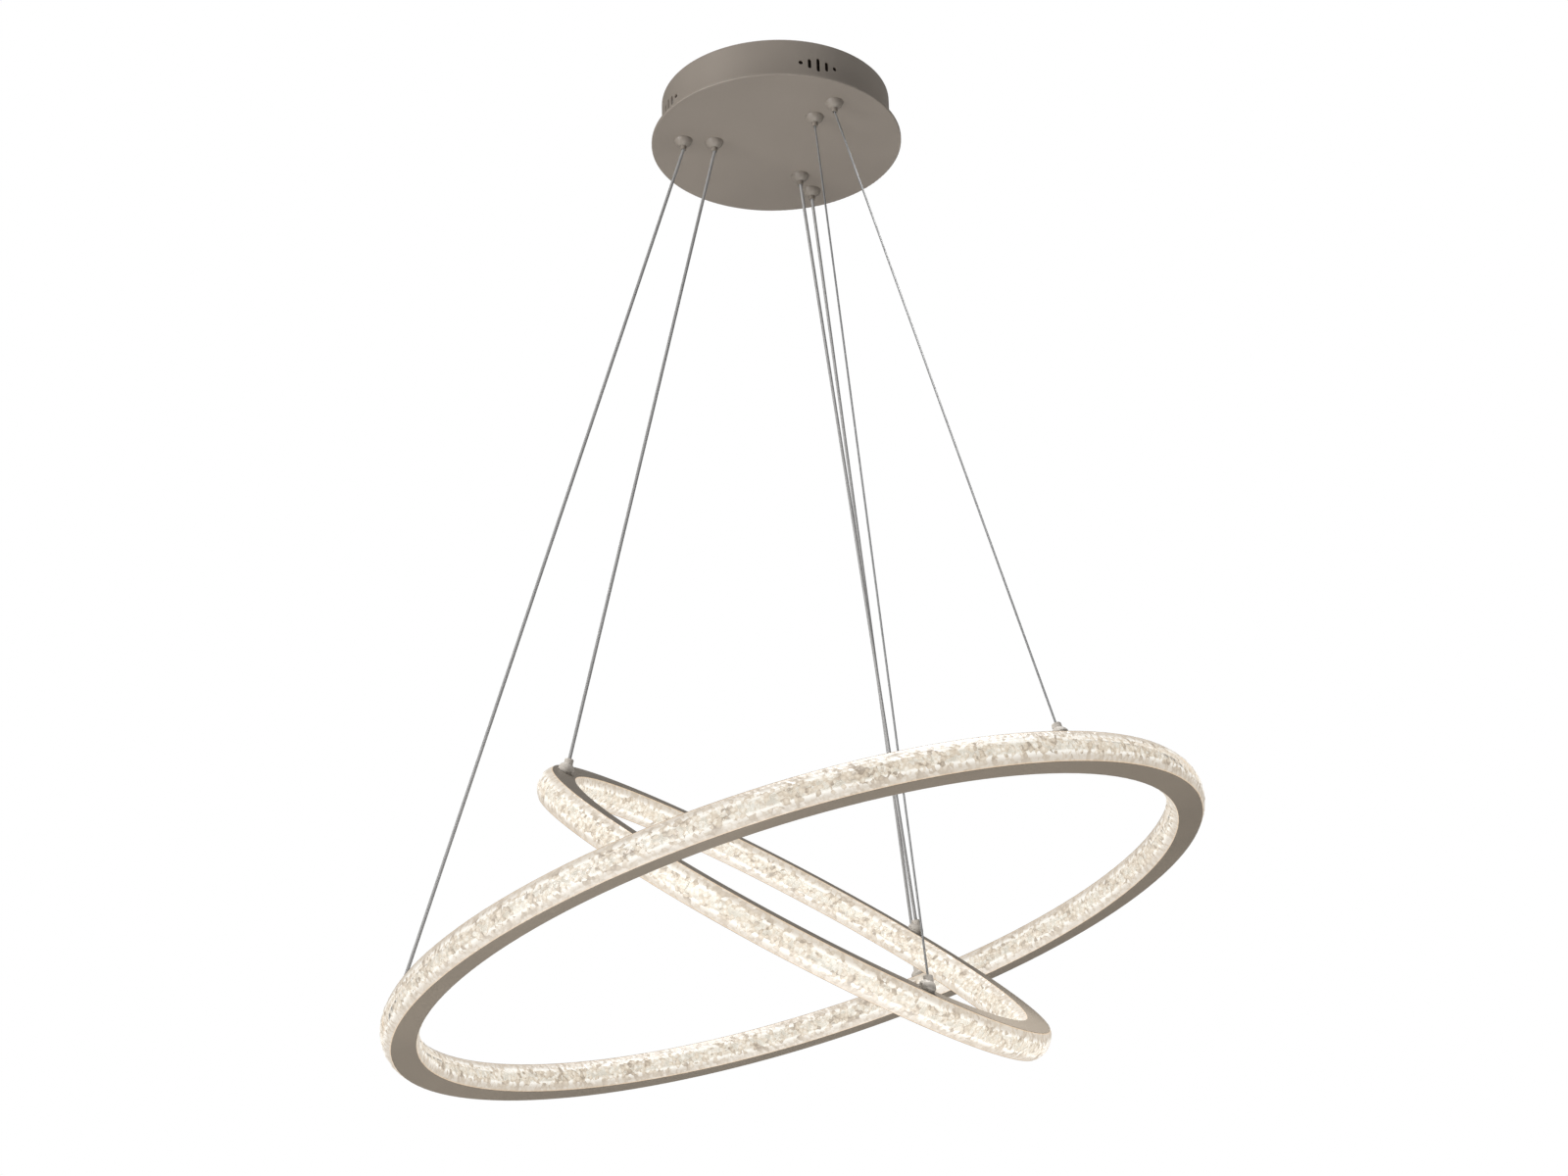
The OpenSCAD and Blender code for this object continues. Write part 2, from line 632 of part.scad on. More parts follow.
// The strip on the duct's outer wall, or with s = -1 the one on its inner wall
module ring_strip(ring, s) in_ring(ring) {
    back_r = mid_r(ring) + s * duct_w / 2;
    color(pale) rotate_extrude($fn = 180) translate([back_r + s * strip_t / 2, 0])
        square([strip_t, strip_w], center = true);
    color(glow) for (i = [0 : chips[ring] - 1]) rotate([0, 0, i * 360 / chips[ring]])
        translate([back_r + s * (1.5 * strip_t + chip_t) / 2, 0, 0])
            cube([strip_t / 2 + chip_t, chip_w, chip_w], center = true);
}

// Section of a diffuser: x = 0 is the edge of the frame's faces, and the bulge is towards +x
half_h = channel_h / 2 - ease;
round_r = (half_h * half_h + bulge * bulge) / (2 * bulge);

module diffuser_section() {
    intersection() {
        translate([bulge - round_r, 0]) difference() {
            circle(r = round_r, $fn = 96);
            circle(r = round_r - diffuser_t, $fn = 96);
        }
        translate([-foot_l, -half_h]) square([foot_l + bulge + through, 2 * half_h]);
    }
    for (s = [-1, 1]) translate([-foot_l, s > 0 ? half_h - foot_t : -half_h])
        square([foot_l, foot_t]);
}

module outer_diffuser(ring) color(glow) in_ring(ring) rotate_extrude($fn = 180)
    translate([ring_r[ring], 0]) diffuser_section();

module inner_diffuser(ring) color(glow) in_ring(ring) rotate_extrude($fn = 180)
    translate([ring_r[ring] - flange_w, 0]) mirror([1, 0]) diffuser_section();

// A lug holds a wire's bead in a seat that points along the wire
lug_side_h = 3;
stud_l = 5;
lead_bore = 2.3;

module lug(ring, side) difference() {
    bead = bead_at(ring, side);
    dir = wire_dir(ring, side);
    round_h = lug_h - lug_side_h;
    cap_r = (pow(lug_d / 2, 2) + round_h * round_h) / (2 * round_h);
    union() {
        at_lug(ring, side) {
            cylinder(h = lug_side_h, d = lug_d);
            intersection() {
                translate([0, 0, lug_h - cap_r]) sphere(r = cap_r, $fn = 64);
                cylinder(h = lug_h, d = lug_d);
            }
            translate([0, 0, -stud_l]) cylinder(h = stud_l + seat_h / 2, d = stud_d);
        }
        rod(bead, bead + nozzle_l * dir, nozzle_d / 2);
    }
    rod(bead - seat_back * dir, bead + (bead_r + bead_play) * dir, seat_r);
    rod(bead, bead + 2 * nozzle_l * dir, wire_r[side] + mouth_ease);
    at_lug(ring, side) translate([0, 0, -stud_l - through]) cylinder(h = stud_l + seat_h, d = lead_bore);
}

module ring_lugs(ring) color(coat) for (side = [BACK, LEFT, FRONT]) lug(ring, side);

lug_nut_h = 2.4;
lug_nut_flats = 7;

module ring_lug_nuts(ring) color(steel) for (side = [BACK, LEFT, FRONT]) at_lug(ring, side)
    translate([0, 0, -flange_t - lug_nut_h]) rotate([0, 0, 30])
        nut(lug_nut_flats, stud_d + 2 * fit, lug_nut_h);

// From the lug a lead drops into the duct, follows it and goes out to both strips
module ring_leads(ring) color(copper) in_ring(ring) for (side = carries) rotate([0, 0, lug_az(ring, side)]) {
    r = mid_r(ring);
    translate([r, 0, 0]) cylinder(h = frame_h / 2, r = lead_r);
    translate([r, 0, 0]) sphere(r = lead_r);
    rotate_extrude(angle = lead_turn, $fn = 180) translate([r, 0]) circle(r = lead_r);
    rotate([0, 0, lead_turn]) translate([r - duct_w / 2, 0, 0]) rotate([0, 90, 0])
        translate([0, 0, ease / 2]) cylinder(h = duct_w - ease, r = lead_r);
}

ceiling_bracket();
canopy_drum();
canopy_disc();
canopy_studs();
side_screws();
drum_nuts();
driver_case();
driver_lid();
driver_board();
driver_nuts();
terminal_block();
terminal_screws();
earth_tag();
canopy_leads();
wire_tails();
gripper_bodies();
gripper_caps();
gripper_nuts();
plunger(LARGE, BACK);  // plunger_large_back
plunger(LARGE, LEFT);  // plunger_large_left
plunger(LARGE, FRONT);  // plunger_large_front
plunger(SMALL, BACK);  // plunger_small_back
plunger(SMALL, LEFT);  // plunger_small_left
plunger(SMALL, FRONT);  // plunger_small_front
balls(LARGE, BACK);  // balls_large_back
balls(LARGE, LEFT);  // balls_large_left
balls(LARGE, FRONT);  // balls_large_front
balls(SMALL, BACK);  // balls_small_back
balls(SMALL, LEFT);  // balls_small_left
balls(SMALL, FRONT);  // balls_small_front
spring(LARGE, BACK);  // spring_large_back
spring(LARGE, LEFT);  // spring_large_left
spring(LARGE, FRONT);  // spring_large_front
spring(SMALL, BACK);  // spring_small_back
spring(SMALL, LEFT);  // spring_small_left
spring(SMALL, FRONT);  // spring_small_front
wire(LARGE, BACK);  // wire_large_back
wire(LARGE, LEFT);  // wire_large_left
wire(LARGE, FRONT);  // wire_large_front
wire(SMALL, BACK);  // wire_small_back
wire(SMALL, LEFT);  // wire_small_left
wire(SMALL, FRONT);  // wire_small_front
ring_frame(LARGE);  // large_frame
ring_splice(LARGE);  // large_splice
ring_strip(LARGE, 1);  // large_outer_strip
ring_strip(LARGE, -1);  // large_inner_strip
outer_diffuser(LARGE);  // large_outer_diffuser
inner_diffuser(LARGE);  // large_inner_diffuser
ring_lugs(LARGE);  // large_lugs
ring_lug_nuts(LARGE);  // large_lug_nuts
ring_leads(LARGE);  // large_leads
ring_frame(SMALL);  // small_frame
ring_splice(SMALL);  // small_splice
ring_strip(SMALL, 1);  // small_outer_strip
ring_strip(SMALL, -1);  // small_inner_strip
outer_diffuser(SMALL);  // small_outer_diffuser
inner_diffuser(SMALL);  // small_inner_diffuser
ring_lugs(SMALL);  // small_lugs
ring_lug_nuts(SMALL);  // small_lug_nuts
ring_leads(SMALL);  // small_leads
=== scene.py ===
"""Looks of the pendant light: taupe canopy, six thin wires, two glowing rings of rough crystal."""
import json
import math

import bpy
from mathutils import Matrix, Vector


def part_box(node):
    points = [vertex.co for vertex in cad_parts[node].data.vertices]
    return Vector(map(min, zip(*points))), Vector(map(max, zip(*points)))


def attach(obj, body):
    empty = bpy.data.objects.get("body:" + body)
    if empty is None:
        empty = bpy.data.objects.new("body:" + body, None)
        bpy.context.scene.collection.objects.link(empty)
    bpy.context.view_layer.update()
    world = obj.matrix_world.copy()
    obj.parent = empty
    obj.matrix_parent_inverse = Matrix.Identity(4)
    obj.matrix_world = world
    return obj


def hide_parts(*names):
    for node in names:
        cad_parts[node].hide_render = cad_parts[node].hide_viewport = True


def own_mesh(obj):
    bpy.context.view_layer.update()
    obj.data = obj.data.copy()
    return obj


MM = 0.001

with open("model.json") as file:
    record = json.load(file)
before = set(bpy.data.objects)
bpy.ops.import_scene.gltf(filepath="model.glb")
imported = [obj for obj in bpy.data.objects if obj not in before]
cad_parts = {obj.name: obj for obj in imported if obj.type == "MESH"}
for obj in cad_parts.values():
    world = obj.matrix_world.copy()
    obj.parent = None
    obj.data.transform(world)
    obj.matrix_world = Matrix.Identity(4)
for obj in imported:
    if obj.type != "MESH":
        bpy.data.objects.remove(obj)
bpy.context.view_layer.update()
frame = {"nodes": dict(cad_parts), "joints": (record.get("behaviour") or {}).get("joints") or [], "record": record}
nodes = frame["nodes"]
turn_height = {j["child"]: j["pos_m"][2] for j in frame["joints"] if j["name"].endswith("_turn")}

# The two rings as the frame has them: radius of the metal faces, tilt and lowest side in degrees,
# how far the centre hangs off the canopy's axis, and how brightly its crystal glows
RINGS = {
    "large": {"radius": 300 * MM, "tilt": 15.6, "low": 187, "off": (0, 0), "light": 1.0},
    "small": {"radius": 200 * MM, "tilt": 38.0, "low": 322.5, "off": (-2.5 * MM, -2 * MM),
              "light": 1.12},
}
FACES = ("outer", "inner")
WIRES = ("back", "left", "front")


# Placing and meshes
def ring_turn(ring):
    """The turn that tilts a ring out of the level plane."""
    tilt = Matrix.Rotation(math.radians(RINGS[ring]["tilt"]), 4, "Y")
    low = Matrix.Rotation(math.radians(RINGS[ring]["low"]), 4, "Z")
    return low @ tilt @ low.inverted()


def ring_centre(ring):
    return Vector((*RINGS[ring]["off"], turn_height[ring + "_ring"]))


def ring_place(ring):
    """Carries a point from a level ring round the origin to the hanging ring."""
    return Matrix.Translation(ring_centre(ring)) @ ring_turn(ring)


def deselect():
    bpy.ops.object.select_all(action="DESELECT")


def pick_vertices(obj, wanted):
    """Selects the vertices that wanted() picks, and leaves the piece in edit mode."""
    bpy.ops.object.mode_set(mode="EDIT")
    bpy.ops.mesh.select_mode(type="VERT")
    bpy.ops.mesh.select_all(action="DESELECT")
    bpy.ops.object.mode_set(mode="OBJECT")
    for v in obj.data.vertices:
        v.select = wanted(v.co)
    bpy.ops.object.mode_set(mode="EDIT")


def dress(obj, *materials):
    obj.data.materials.clear()
    for material in materials:
        obj.data.materials.append(material)


# Shader building
class Shader:
    """A node tree, with short calls for its nodes and links."""

    def __init__(self, tree):
        self.tree = tree

    def node(self, kind, **settings):
        made = self.tree.nodes.new("ShaderNode" + kind)
        for key, value in settings.items():
            setattr(made, key, value)
        return made

    def link(self, out, socket):
        self.tree.links.new(out, socket)

    def feed(self, socket, value):
        """Links an output to the socket, or sets the socket to a plain value."""
        if isinstance(value, bpy.types.NodeSocket):
            self.link(value, socket)
        else:
            socket.default_value = value

    def math(self, operation, a, b=0.0):
        made = self.node("Math", operation=operation)
        self.feed(made.inputs[0], a)
        self.feed(made.inputs[1], b)
        return made.outputs[0]

    def spread(self, value, low, high, to_low=0.0, to_high=1.0, soft=False):
        """Maps low..high to to_low..to_high and holds the ends."""
        made = self.node("MapRange", interpolation_type="SMOOTHSTEP" if soft else "LINEAR")
        for socket, v in zip(made.inputs, (value, low, high, to_low, to_high)):
            self.feed(socket, v)
        return made.outputs[0]

    def mix(self, share, a, b):
        made = self.node("Mix", data_type="RGBA")
        self.feed(made.inputs[0], share)
        self.feed(made.inputs[6], a)
        self.feed(made.inputs[7], b)
        return made.outputs[2]

    def ramp(self, value, stops):
        """Turns a value into a colour, with stops as pairs of place and colour."""
        made = self.node("ValToRGB")
        ends = made.color_ramp.elements
        while len(ends) < len(stops):
            ends.new(0.5)
        for end, (place, colour) in zip(ends, stops):
            end.position = place
            end.color = (*colour, 1)
        self.feed(made.inputs[0], value)
        return made.outputs[0]

    def texture(self, kind, place, scale, **values):
        made = self.node("Tex" + kind)
        for key, value in {"Vector": place, "Scale": scale, **values}.items():
            self.feed(made.inputs[key], value)
        return made.outputs

    def bump(self, height, distance, strength):
        made = self.node("Bump")
        made.inputs["Strength"].default_value = strength
        made.inputs["Distance"].default_value = distance
        self.feed(made.inputs["Height"], height)
        return made.outputs["Normal"]

    def coordinates(self):
        return self.node("TexCoord").outputs["Object"]

    def effect(self, group, **values):
        """Places a shared effect with its own values, and gives back its outputs."""
        made = self.node("Group", node_tree=group)
        for key, value in values.items():
            self.feed(made.inputs[key], value)
        return made.outputs

    def finish(self, normal=None, **inputs):
        """Ends a material with the Principled shader and the named inputs."""
        shader = self.node("BsdfPrincipled")
        for key, value in inputs.items():
            self.feed(shader.inputs[key.replace("_", " ")], value)
        if normal is not None:
            self.link(normal, shader.inputs["Normal"])
        self.link(shader.outputs[0], self.node("OutputMaterial").inputs["Surface"])

    def seen_and_real(self, seen, shown, real, output="OutputMaterial"):
        """Ends a tree that shows one shader where seen is 1, and the real one elsewhere."""
        mix = self.node("MixShader")
        for socket, value in zip(mix.inputs, (seen, real, shown)):
            self.link(value, socket)
        self.link(mix.outputs[0], self.node(output).inputs["Surface"])

    def camera_ray(self):
        return self.node("LightPath").outputs["Is Camera Ray"]


def new_material(name):
    material = bpy.data.materials.new(name)
    material.use_nodes = True
    material.node_tree.nodes.clear()
    return material, Shader(material.node_tree)


def new_effect(name, takes, gives):
    """A node group with named inputs and outputs, for an effect that several materials share."""
    s = Shader(bpy.data.node_groups.new(name, "ShaderNodeTree"))
    for way, sockets in (("INPUT", takes), ("OUTPUT", gives)):
        for socket, kind in sockets.items():
            s.tree.interface.new_socket(name=socket, in_out=way, socket_type="NodeSocket" + kind)
    given = s.tree.nodes.new("NodeGroupInput").outputs
    return s, given, s.tree.nodes.new("NodeGroupOutput").inputs


# Effects that the materials share
def clouds_effect():
    """Soft clouds between two colours, as in a sprayed or rolled surface."""
    s, given, result = new_effect(
        "soft_clouds",
        {"Place": "Vector", "Scale": "Float", "Dark": "Color", "Light": "Color"},
        {"Colour": "Color"})
    noise = s.texture("Noise", given["Place"], given["Scale"], Detail=3.0)
    share = s.spread(noise["Fac"], 0.35, 0.65)
    s.link(s.mix(share, given["Dark"], given["Light"]), result["Colour"])
    return s.tree


def grain_effect():
    """A fine grain: how rough it leaves the surface, and its height for a bump."""
    s, given, result = new_effect(
        "fine_grain",
        {"Place": "Vector", "Scale": "Float", "Smooth": "Float", "Rough": "Float"},
        {"Roughness": "Float", "Height": "Float"})
    noise = s.texture("Noise", given["Place"], given["Scale"], Detail=2.0)
    rough = s.spread(noise["Fac"], 0.3, 0.7, given["Smooth"], given["Rough"])
    s.link(rough, result["Roughness"])
    s.link(noise["Fac"], result["Height"])
    return s.tree


def height_effect():
    """Distance of a point from the middle plane of a hanging ring."""
    s, given, result = new_effect(
        "ring_height", {"Place": "Vector", "Centre": "Vector", "Turn": "Vector"},
        {"Height": "Float"})
    level = s.node("Mapping", vector_type="TEXTURE")
    for socket, value in (("Vector", "Place"), ("Location", "Centre"), ("Rotation", "Turn")):
        s.link(given[value], level.inputs[socket])
    apart = s.node("SeparateXYZ")
    s.link(level.outputs[0], apart.inputs[0])
    s.link(s.math("ABSOLUTE", apart.outputs["Z"]), result["Height"])
    return s.tree


def crystals_effect():
    """Crooked cells of broken crystal: a shade for each, and the distance from its middle."""
    s, given, result = new_effect(
        "broken_crystal",
        {"Place": "Vector", "Cells": "Float", "Warp": "Float", "Reach": "Float"},
        {"Shade": "Float", "Distance": "Float"})
    warp = s.texture("Noise", given["Place"], given["Warp"])
    moved = s.node("VectorMath", operation="MULTIPLY_ADD")
    for socket, value in zip(moved.inputs, (warp["Color"], given["Reach"], given["Place"])):
        s.link(value, socket)
    cells = s.texture("Voronoi", moved.outputs[0], given["Cells"])
    split = s.node("SeparateColor")
    s.link(cells["Color"], split.inputs[0])
    s.link(split.outputs[0], result["Shade"])
    s.link(cells["Distance"], result["Distance"])
    return s.tree


CLOUDS = clouds_effect()
GRAIN = grain_effect()
HEIGHT = height_effect()
CRYSTALS = crystals_effect()


# Plain finishes
SMOOTHER, ROUGHER = 0.05, 0.06  # how far the grain takes the roughness down and up
GRAIN_STRENGTH = 0.35


def finish(name, colour, roughness, metallic=0.0, cloud=12, depth=0.1, grain=1200, relief=0.02):
    """A plain paint, metal or plastic: clouds in its colour, and a fine grain of a relief in mm."""
    material, s = new_material(name)
    place = s.coordinates()
    dark = (*((1 - depth) * c for c in colour), 1)
    tone = s.effect(CLOUDS, Place=place, Scale=cloud, Dark=dark, Light=(*colour, 1))["Colour"]
    rough = s.effect(GRAIN, Place=place, Scale=grain, Smooth=roughness - SMOOTHER,
                     Rough=roughness + ROUGHER)
    s.finish(s.bump(rough["Height"], relief * MM, GRAIN_STRENGTH), Base_Color=tone,
             Roughness=rough["Roughness"], Metallic=metallic)
    return material


METAL = {"cloud": 300, "depth": 0.15, "grain": 900, "relief": 0.01}
SMALL_PART = {"cloud": 40, "depth": 0.06}
POWDER = {"metallic": 0.15, "cloud": 9, "grain": 1400}

# One for each slot of the frame but the diffusers' own
materials = {
    "canopy_paint": finish("taupe_powder_coat", (0.250, 0.216, 0.182), 0.55, **POWDER),
    "frame_paint": finish("taupe_ring_frame", (0.180, 0.149, 0.114), 0.5, **POWDER),
    "zinc": finish("zinc_plate", (0.44, 0.44, 0.45), 0.45, 1.0, **METAL),
    "bare_steel": finish("steel_wire", (0.30, 0.30, 0.30), 0.5, 0.5, **METAL),
    "coated_wire": finish("wire_sheath", (0.31, 0.305, 0.30), 0.5, **SMALL_PART),
    "gripper_paint": finish("gripper_coat", (0.205, 0.178, 0.15), 0.5, **SMALL_PART),
    "dark_brass": finish("dark_nickel", (0.16, 0.15, 0.14), 0.3, 1.0, **METAL),
    "lug_paint": finish("lug_coat", (0.50, 0.46, 0.41), 0.6, **SMALL_PART),
    "plastic_white": finish("white_plastic", (0.50, 0.49, 0.465), 0.5, **SMALL_PART),
    "board": finish("board_green", (0.05, 0.16, 0.08), 0.5, **SMALL_PART),
    "insulation": finish("lead_sheath", (0.30, 0.16, 0.09), 0.5, **SMALL_PART),
    "strip": finish("strip_white", (0.85, 0.84, 0.78), 0.5, **SMALL_PART),
}


# The crystal of the diffusers: cells per metre, how finely and how far their edges are bent
COARSE_CELLS = {"Cells": 190, "Warp": 300, "Reach": 2.2 * MM}
FINE_CELLS = {"Cells": 330, "Warp": 420, "Reach": 1.4 * MM}
WALL_CELLS = {"Cells": 250, "Warp": 240, "Reach": 2.4 * MM}
COARSE_SHARE, FINE_SHARE = 0.3, 0.7
CELL_EDGE_SHADE = 0.32    # how much darker a cell gets away from its middle
LIFT = (0.20, 0.10)       # how much lighter the cells are at the middle plane and at the rim
CLEAR_CELLS = (0.30, 0.62, 0.85, 0.12)  # from dark and nearly closed to light and nearly clear
WALL_CELL_SPREAD = (-0.40, 0.15)        # what a cell of the wall takes from its light or adds
CRYSTAL_TONES = ((0.06, (0.30, 0.24, 0.18)), (0.24, (0.57, 0.48, 0.37)),
                 (0.42, (0.79, 0.705, 0.58)), (0.54, (1.0, 0.98, 0.92)))
WALL_TONES = ((0.0, (0.56, 0.475, 0.37)), (0.4, (0.88, 0.80, 0.67)), (0.7, (1.0, 0.98, 0.92)))
RIM_TONE, RIM_SHARE = (0.52, 0.45, 0.365, 1), 0.8
GOLD_TONE, GOLD_SHARE = (0.72, 0.50, 0.29, 1), 0.5
FACE_BODY = (0.09, 0.085, 0.08, 1)
WALL_BODY = (0.14, 0.13, 0.12, 1)
WALL_LIGHT = 1.45
RELIEF, RELIEF_STRENGTH = 0.6 * MM, 0.5
FACE_FINISH = {"Roughness": 0.35, "Coat_Weight": 0.2, "Coat_Roughness": 0.2, "Coat_IOR": 1.5}

# Heights over a ring's middle plane, from where a band begins to where it is full
LIFT_BAND = (0.0, 9 * MM)
CLOSED_BAND = (3.0 * MM, 5.4 * MM)
RIM_BAND = (3.8 * MM, 8.5 * MM)
GOLD_BAND = (9.9 * MM, 10.5 * MM)
GLOW_BAND = (7.6 * MM, 2.8 * MM)


def ring_height(s, place, ring):
    turn = Vector(ring_turn(ring).to_euler("XYZ"))
    return s.effect(HEIGHT, Place=place, Centre=ring_centre(ring), Turn=turn)["Height"]


def crystal_face(ring):
    """The rough face: beige crystals, some clear, dull rims and a thin gold line at the metal."""
    material, s = new_material("crystal_face_" + ring)
    place = s.coordinates()
    height = ring_height(s, place, ring)
    coarse = s.effect(CRYSTALS, Place=place, **COARSE_CELLS)
    fine = s.effect(CRYSTALS, Place=place, **FINE_CELLS)
    fleck = s.math("ADD", s.math("MULTIPLY", coarse["Shade"], COARSE_SHARE),
                   s.math("MULTIPLY", fine["Shade"], FINE_SHARE))
    facet = s.math("SUBTRACT", s.math("ADD", fleck, s.spread(height, *LIFT_BAND, *LIFT)),
                   s.math("MULTIPLY", fine["Distance"], CELL_EDGE_SHADE))
    tone = s.ramp(facet, CRYSTAL_TONES)
    tone = s.mix(s.spread(height, *RIM_BAND, 0.0, RIM_SHARE, soft=True), tone, RIM_TONE)
    tone = s.mix(s.spread(height, *GOLD_BAND, 0.0, GOLD_SHARE), tone, GOLD_TONE)
    closed = s.math("MAXIMUM", s.spread(fleck, *CLEAR_CELLS),
                    s.spread(height, *CLOSED_BAND, soft=True))
    relief = s.math("ADD", fine["Distance"], coarse["Distance"])
    s.finish(s.bump(relief, RELIEF, RELIEF_STRENGTH), Base_Color=FACE_BODY, **FACE_FINISH,
             Alpha=closed, Emission_Color=tone, Emission_Strength=RINGS[ring]["light"])
    return material


def crystal_glow(ring):
    """The wall behind the face, where the light of the strip shows as a bright band."""
    material, s = new_material("crystal_glow_" + ring)
    place = s.coordinates()
    height = ring_height(s, place, ring)
    cells = s.effect(CRYSTALS, Place=place, **WALL_CELLS)
    band = s.math("ADD", s.spread(height, *GLOW_BAND, soft=True),
                  s.spread(cells["Shade"], 0.0, 1.0, *WALL_CELL_SPREAD))
    s.finish(Base_Color=WALL_BODY, Roughness=0.5, Emission_Color=s.ramp(band, WALL_TONES),
             Emission_Strength=WALL_LIGHT)
    return material


# The shape of the four diffusers: a face on an arc, two feet, and a wall behind the face
FACE_WIDTH = 18 * MM      # from a ring's outer metal face to its inner one
SECTION_HALF = 9.7 * MM   # half the height between the flanges
LIP_HALF = 10.8 * MM      # half the height over the lips, which lap over the flanges' edges
LIP_OUT = 0.05 * MM
BULGE = 5 * MM
WALL = 3.4 * MM           # from the face to the wall
FOOT = 2.4 * MM
FOOT_DEPTH = 1.4 * MM
ROUGHNESS = 0.5 * MM      # how far the facets' corners leave the arc
FACE_SKIN = 0.9 * MM      # what lies this near the arc, or beyond it, belongs to the face
FACE_ROWS, WALL_ROWS = 9, 6
FACE_REACH = BULGE - ROUGHNESS - LIP_OUT
FACE_ARC = (LIP_HALF ** 2 + FACE_REACH ** 2) / (2 * FACE_REACH)
FACE_CENTRE = LIP_OUT + FACE_REACH - FACE_ARC
STEPS = {"large": 700, "small": 480}
PARTS = 20                # the steps are spun in as many equal parts
SEEDS = {"outer": 7, "inner": 11}
WELD = 0.02 * MM


def section(edge, sign):
    """The closed outline of a diffuser at a ring's metal face."""
    half_angle = math.asin(LIP_HALF / FACE_ARC)
    inner = FACE_ARC - WALL
    inner_angle = math.asin((SECTION_HALF - FOOT_DEPTH) / inner)
    face = [(FACE_CENTRE + FACE_ARC * math.cos(a), FACE_ARC * math.sin(a))
            for a in (half_angle * (2 * i / FACE_ROWS - 1) for i in range(FACE_ROWS + 1))]
    wall = [(FACE_CENTRE + inner * math.cos(a), inner * math.sin(a))
            for a in (inner_angle * (1 - 2 * i / WALL_ROWS) for i in range(WALL_ROWS + 1))]
    upper = [(LIP_OUT, SECTION_HALF), (-FOOT, SECTION_HALF), (-FOOT, SECTION_HALF - FOOT_DEPTH)]
    lower = [(x, -z) for x, z in reversed(upper)]
    return [Vector((edge + sign * x, 0, z)) for x, z in face + upper + wall + lower]


def on_face(co, edge, sign):
    """True for a point on the bulging face, and false for one on the wall behind it."""
    across = sign * (Vector((co.x, co.y)).length - edge) - FACE_CENTRE
    return math.hypot(across, co.z) > FACE_ARC - FACE_SKIN


def diffuser(ring, face):
    """A ring of acrylic: its outline is drawn, spun round the ring and broken into facets."""
    sign = 1 if face == "outer" else -1
    edge = RINGS[ring]["radius"] - (0 if face == "outer" else FACE_WIDTH)
    outline = section(edge, sign)
    deselect()
    bpy.ops.mesh.primitive_circle_add(vertices=len(outline), radius=SECTION_HALF)
    piece = bpy.context.object
    piece.name = f"{ring}_{face}_crystal"
    for v, place in zip(piece.data.vertices, outline):
        v.co = place
    bpy.ops.object.mode_set(mode="EDIT")
    bpy.ops.mesh.select_all(action="SELECT")
    bpy.ops.mesh.spin(steps=STEPS[ring] // PARTS, angle=2 * math.pi / PARTS,
                      center=(0, 0, 0), axis=(0, 0, 1))
    bpy.ops.mesh.select_all(action="SELECT")
    bpy.ops.mesh.spin(steps=PARTS - 1, dupli=True, angle=2 * math.pi * (1 - 1 / PARTS),
                      center=(0, 0, 0), axis=(0, 0, 1))
    bpy.ops.mesh.select_all(action="SELECT")
    bpy.ops.mesh.remove_doubles(threshold=WELD)
    bpy.ops.mesh.normals_make_consistent(inside=False)
    pick_vertices(piece, lambda co: on_face(co, edge, sign) and abs(co.z) < SECTION_HALF)
    bpy.ops.transform.vertex_random(offset=ROUGHNESS, seed=SEEDS[face])
    bpy.ops.mesh.select_all(action="SELECT")
    bpy.ops.mesh.quads_convert_to_tris(quad_method="BEAUTY", ngon_method="BEAUTY")
    bpy.ops.object.mode_set(mode="OBJECT")
    for f in piece.data.polygons:
        f.material_index = 0 if on_face(f.center, edge, sign) else 1
    piece.data.transform(ring_place(ring))
    piece.data.update()
    dress(piece, *crystals[ring])
    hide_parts(f"{ring}_{face}_diffuser")
    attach(piece, ring + "_ring")


# The springs in the grippers
COILS = 5
COIL_WIRE = 0.6 * MM
COIL_SIDES = 8            # sides of the round wire
COIL_STEPS = 14           # steps in one turn
SMOOTH_BELOW = 50         # degrees between faces that are shaded as one


